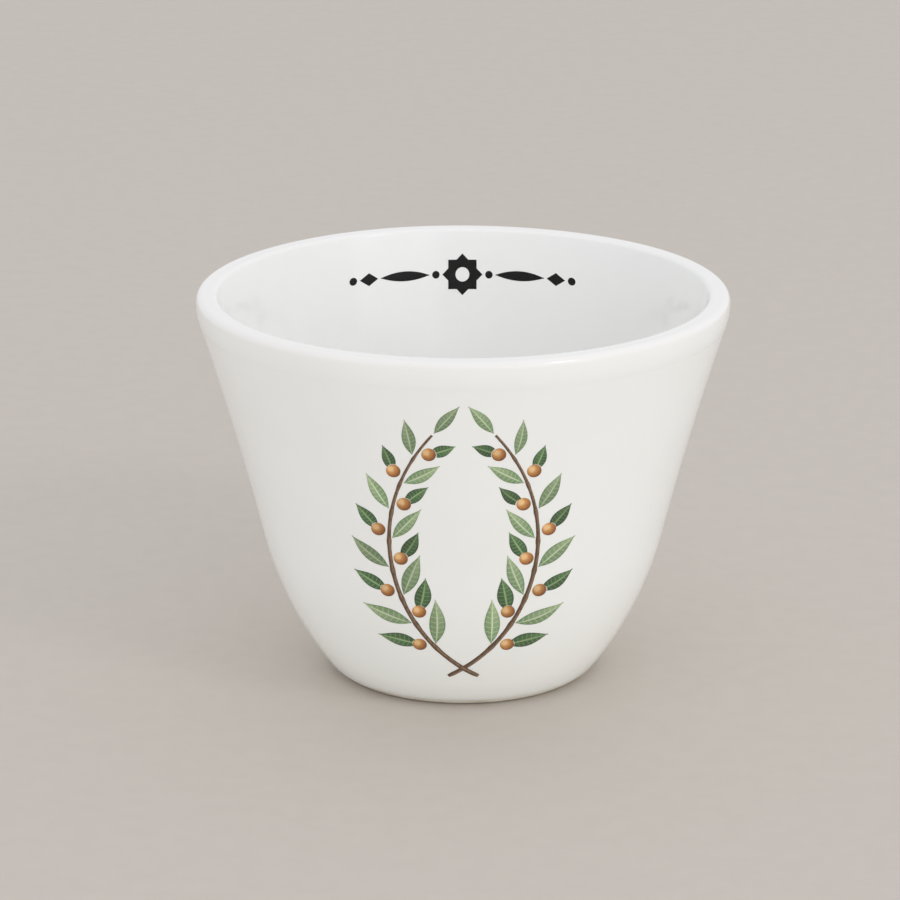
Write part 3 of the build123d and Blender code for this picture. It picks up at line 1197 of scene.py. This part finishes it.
    def add_stems(self, film: Film) -> None:
        """Add both twigs, thinner towards their tips, with a swelling at each pair of leaves.

        Args:
            film: Enamel that takes the twigs.
        """
        distance = np.linspace(0, self.length, self.stem_grid[0])
        side = np.linspace(-1, 1, self.stem_grid[1])
        knots = sum(np.exp(-(((distance - place) / self.knot_length) ** 2)) for place, _ in self.pairs())
        taper = np.interp(distance, [0, self.stem_end, self.length / 2, self.length], self.stem_taper)
        between, more = self.knot_share
        half = self.stem_width / 2 * np.minimum(taper * (between + more * knots), 1.0)
        point, direction = self.on_stem(distance)
        left = np.stack([-direction[:, 1], direction[:, 0]], axis=-1)
        grid = point[:, None] + left[:, None] * (side[None, :] * half[:, None])[..., None]
        across = np.broadcast_to(side, grid.shape[:2])
        along = np.broadcast_to((distance / self.length)[:, None], grid.shape[:2])
        rounded = self.edge_relief + (self.relief * self.stem_rise - self.edge_relief) * (1 - across**2)
        near_axis = np.exp(-((grid[..., 0] / self.crossing_reach) ** 2)) * (along < self.crossing_part)
        for mirrored, raised in ((1, 0.0), (-1, self.relief)):
            relief = rounded + raised * near_axis
            film.add_patch(grid[..., 0] * mirrored, grid[..., 1], relief, along, across * mirrored)

    def build(self) -> None:
        """Build the four colours of the print and dress them."""
        stems, dark, light, berries = (Film(self.form, Wall.OUTSIDE_FRONT) for _ in range(4))
        self.add_stems(stems)
        radius = self.berry_diameter / 2
        clear = self.stem_standoff / math.sin(math.radians(self.leaf_angle))
        for distance, turn in self.pairs():
            self.add_leaf(dark, distance, turn, self.berry_standoff, radius + self.white_line)
            self.add_leaf(light, distance, -turn, clear, 0.0)
            berry = self.off_stem(distance, turn, self.berry_standoff)
            for mirrored in (1, -1):
                middle = np.array([berry[0] * mirrored, berry[1]])
                berries.add_disc(middle, radius, *self.berry_relief, self.random.uniform(0, 1))
        self.add_leaf(light, self.length, 0.0, self.stem_standoff, 0.0)
        dark_green, light_green = LeafColour.DARK.value, LeafColour.LIGHT.value
        prints = (
            (stems, "brown_stem_print", StemEnamel(), "front_print_stems", "brown_enamel"),
            (dark, "dark_leaf_print", dark_green, "front_print_dark_leaves", "dark_green_enamel"),
            (light, "light_leaf_print", light_green, "front_print_light_leaves", "light_green_enamel"),
            (berries, "amber_berry_print", BerryEnamel(), "front_print_berries", "amber_enamel"),
        )
        for film, name, finish, node, slot in prints:
            settle(film.piece(name, finish), node)


@dataclass
class InnerPrint(EnamelPrint):
    """The inner print: a star between two rows of dots, slips and lozenges, on the inside of the back."""

    edge_relief: float = 0.025
    rim_gap: float = 5.4
    star_diameter: float = 4.9
    star_grid: tuple[int, int] = (9, 128)
    eye_diameter: float = 1.7
    dot_diameter: float = 0.9
    slip_length: float = 5.9
    slip_width: float = 1.15
    slip_point: float = 0.04  # least half width, at its ends
    slip_grid: tuple[int, int] = (31, 9)
    lozenge_length: float = 2.2
    lozenge_width: float = 1.5
    lozenge_grid: tuple[int, int] = (11, 11)
    gap: float = 0.35

    def add_star(self, film: Film, level: float) -> None:
        """Add the star of two crossed squares with its round eye.

        Args:
            film: Enamel that takes the star.
            level: Height of its middle.
        """
        turn = np.linspace(0, math.tau, self.star_grid[1], endpoint=False)
        flat = self.star_diameter / 2 * math.cos(math.pi / 4)
        quarter = math.pi / 2
        upright = flat / np.cos((turn + quarter / 2) % quarter - quarter / 2)
        diagonal = flat / np.cos(turn % quarter - quarter / 2)
        outline = np.maximum(upright, diagonal)
        share = np.linspace(0, 1, self.star_grid[0])[:, None]
        reach = self.eye_diameter / 2 + share * (outline[None, :] - self.eye_diameter / 2)
        across = np.broadcast_to(2 * share - 1, reach.shape)
        x, z = reach * np.cos(turn), level + reach * np.sin(turn)
        film.add_patch(x, z, self.raised(1 - across**4), turn / math.tau, across, ring=True)

    def add_slip(self, film: Film, start: float, level: float, side: int) -> None:
        """Add one pointed slip.

        Args:
            film: Enamel that takes the slip.
            start: Its end nearest the star.
            level: Height of its middle line.
            side: 1 for the right row, -1 for the left.
        """
        share, across = share_grids(0, *self.slip_grid)
        half = np.maximum(self.slip_width / 2 * 4 * share * (1 - share), self.slip_point)
        x = side * (start + share * self.slip_length)
        film.add_patch(x, level + across * half, self.raised(1 - across**4), share, across)

    def add_lozenge(self, film: Film, middle: float, level: float) -> None:
        """Add one lozenge.

        Args:
            film: Enamel that takes the lozenge.
            middle: Its middle, to the right of the axis.
            level: Height of its middle.
        """
        s, t = share_grids(-1, *self.lozenge_grid)
        x = middle + (s + t) / 2 * self.lozenge_length / 2
        z = level + (s - t) / 2 * self.lozenge_width / 2
        film.add_patch(x, z, self.raised((1 - s**4) * (1 - t**4)), s, t)

    def build(self) -> None:
        """Build the ornament and dress it."""
        film = Film(self.form, Wall.INSIDE_BACK)
        level = self.form.height - self.rim_gap
        first_dot = (self.star_diameter + self.dot_diameter) / 2 + self.gap
        slip_start = first_dot + self.dot_diameter / 2 + self.gap
        lozenge = slip_start + self.slip_length + self.gap + self.lozenge_length / 2
        last_dot = lozenge + self.lozenge_length / 2 + self.gap + self.dot_diameter / 2
        self.add_star(film, level)
        for side in (1, -1):
            for dot in (first_dot, last_dot):
                middle = np.array([side * dot, level])
                film.add_disc(middle, self.dot_diameter / 2, self.edge_relief, self.relief)
            self.add_slip(film, slip_start, level, side)
            self.add_lozenge(film, side * lozenge, level)
        settle(film.piece("black_ornament_print", BlackEnamel()), "inner_print_ornament")


def set_up(name: str, data: bpy.types.ID, place: Place, aim: Place) -> bpy.types.Object:
    """Put a lamp or the camera in the scene.

    Args:
        name: Its name.
        data: The lamp or the camera.
        place: Where it stands, in metres.
        aim: The point that it looks at.

    Returns:
        The new object.
    """
    stand = bpy.data.objects.new(name, data)
    stand.location = place
    stand.rotation_euler = (Vector(aim) - Vector(place)).to_track_quat("-Z", "Y").to_euler()
    bpy.context.scene.collection.objects.link(stand)
    return stand


@dataclass(frozen=True)
class Softbox:
    """A square studio lamp with an even soft front, placed and aimed in metres."""

    name: str
    place: Place
    aim: Place
    side: float
    radiance: float
    tint: str = "#FFFFFF"

    def light(self) -> None:
        """Hang the lamp; its power follows from how bright its front is."""
        lamp = bpy.data.lights.new(self.name, "AREA")
        lamp.shape = "SQUARE"
        lamp.size = self.side
        lamp.energy = self.radiance * math.pi * self.side**2
        lamp.color = linear(self.tint)[:3]
        set_up(self.name, lamp, self.place, self.aim).visible_camera = False


@dataclass(frozen=True)
class Studio:
    """The pale floor, the soft lamps, the surrounding light and the camera."""

    floor_size: float = 6.0  # metres, as the places below
    surround: str = "#F9FAFF"
    surround_strength: float = 0.91
    camera_place: Place = (-0.00152, -0.450, 0.16617)
    camera_aim: Place = (-0.00152, 0.0, 0.02619)
    camera_clip: Pair = (0.01, 50.0)
    focal_pixels: float = 4022.0
    sensor: float = 36.0
    lamps: tuple[Softbox, ...] = (
        Softbox("key_softbox", (0.65, -0.62, 0.68), (0.0, 0.0, 0.03), side=0.22, radiance=5.8),
        Softbox("wide_softbox", (0.7, -1.0, 0.3), (0.0, 0.0, 0.04), side=1.0, radiance=0.6),
    )

    def lay_floor(self) -> None:
        """Lay the floor as a square sheet under the foot."""
        half = self.floor_size / 2 / MM
        points = np.array([[-half, -half, 0], [half, -half, 0], [half, half, 0], [-half, half, 0]], float)
        floor = new_piece("studio_floor", points, [(0, 1, 2, 3)], {}, PaleFloor().material())

    def light(self) -> None:
        """Light the world evenly and hang the softboxes."""
        world = bpy.data.worlds.new("soft_surround")
        world.use_nodes = True
        tree = world.node_tree
        tree.nodes.clear()
        even = {"Color": linear(self.surround), "Strength": self.surround_strength}
        glow = add_node(tree, "ShaderNodeBackground", even)
        add_node(tree, "ShaderNodeOutputWorld", {"Surface": glow})
        bpy.context.scene.world = world
        for lamp in self.lamps:
            lamp.light()

    def set_camera(self) -> None:
        """Set the camera where the photograph was taken from."""
        camera = bpy.data.cameras.new("photo_camera")
        camera.sensor_fit = "HORIZONTAL"
        camera.sensor_width = self.sensor
        camera.lens = self.focal_pixels / PHOTO_WIDTH * self.sensor
        camera.clip_start, camera.clip_end = self.camera_clip
        bpy.context.scene.camera = set_up("photo_camera", camera, self.camera_place, self.camera_aim)

    def build(self) -> None:
        """Set up the whole studio."""
        self.lay_floor()
        self.light()
        self.set_camera()
        bpy.context.scene.view_settings.view_transform = "Standard"
        log.info("studio: %d softboxes", len(self.lamps))


def main() -> None:
    """Dress the cup from its glaze to its prints, then set up the studio."""
    logging.basicConfig(level=logging.INFO, format="%(name)s: %(message)s")
    form = CupForm()
    coat = GlazeCoat(form, WhiteGlaze()).build()
    FiredFoot(BarePorcelain(), coat.data.materials[0]).dress()
    FrontPrint(form).build()
    InnerPrint(form).build()
    Studio().build()


if __name__ == "__main__":
    main()
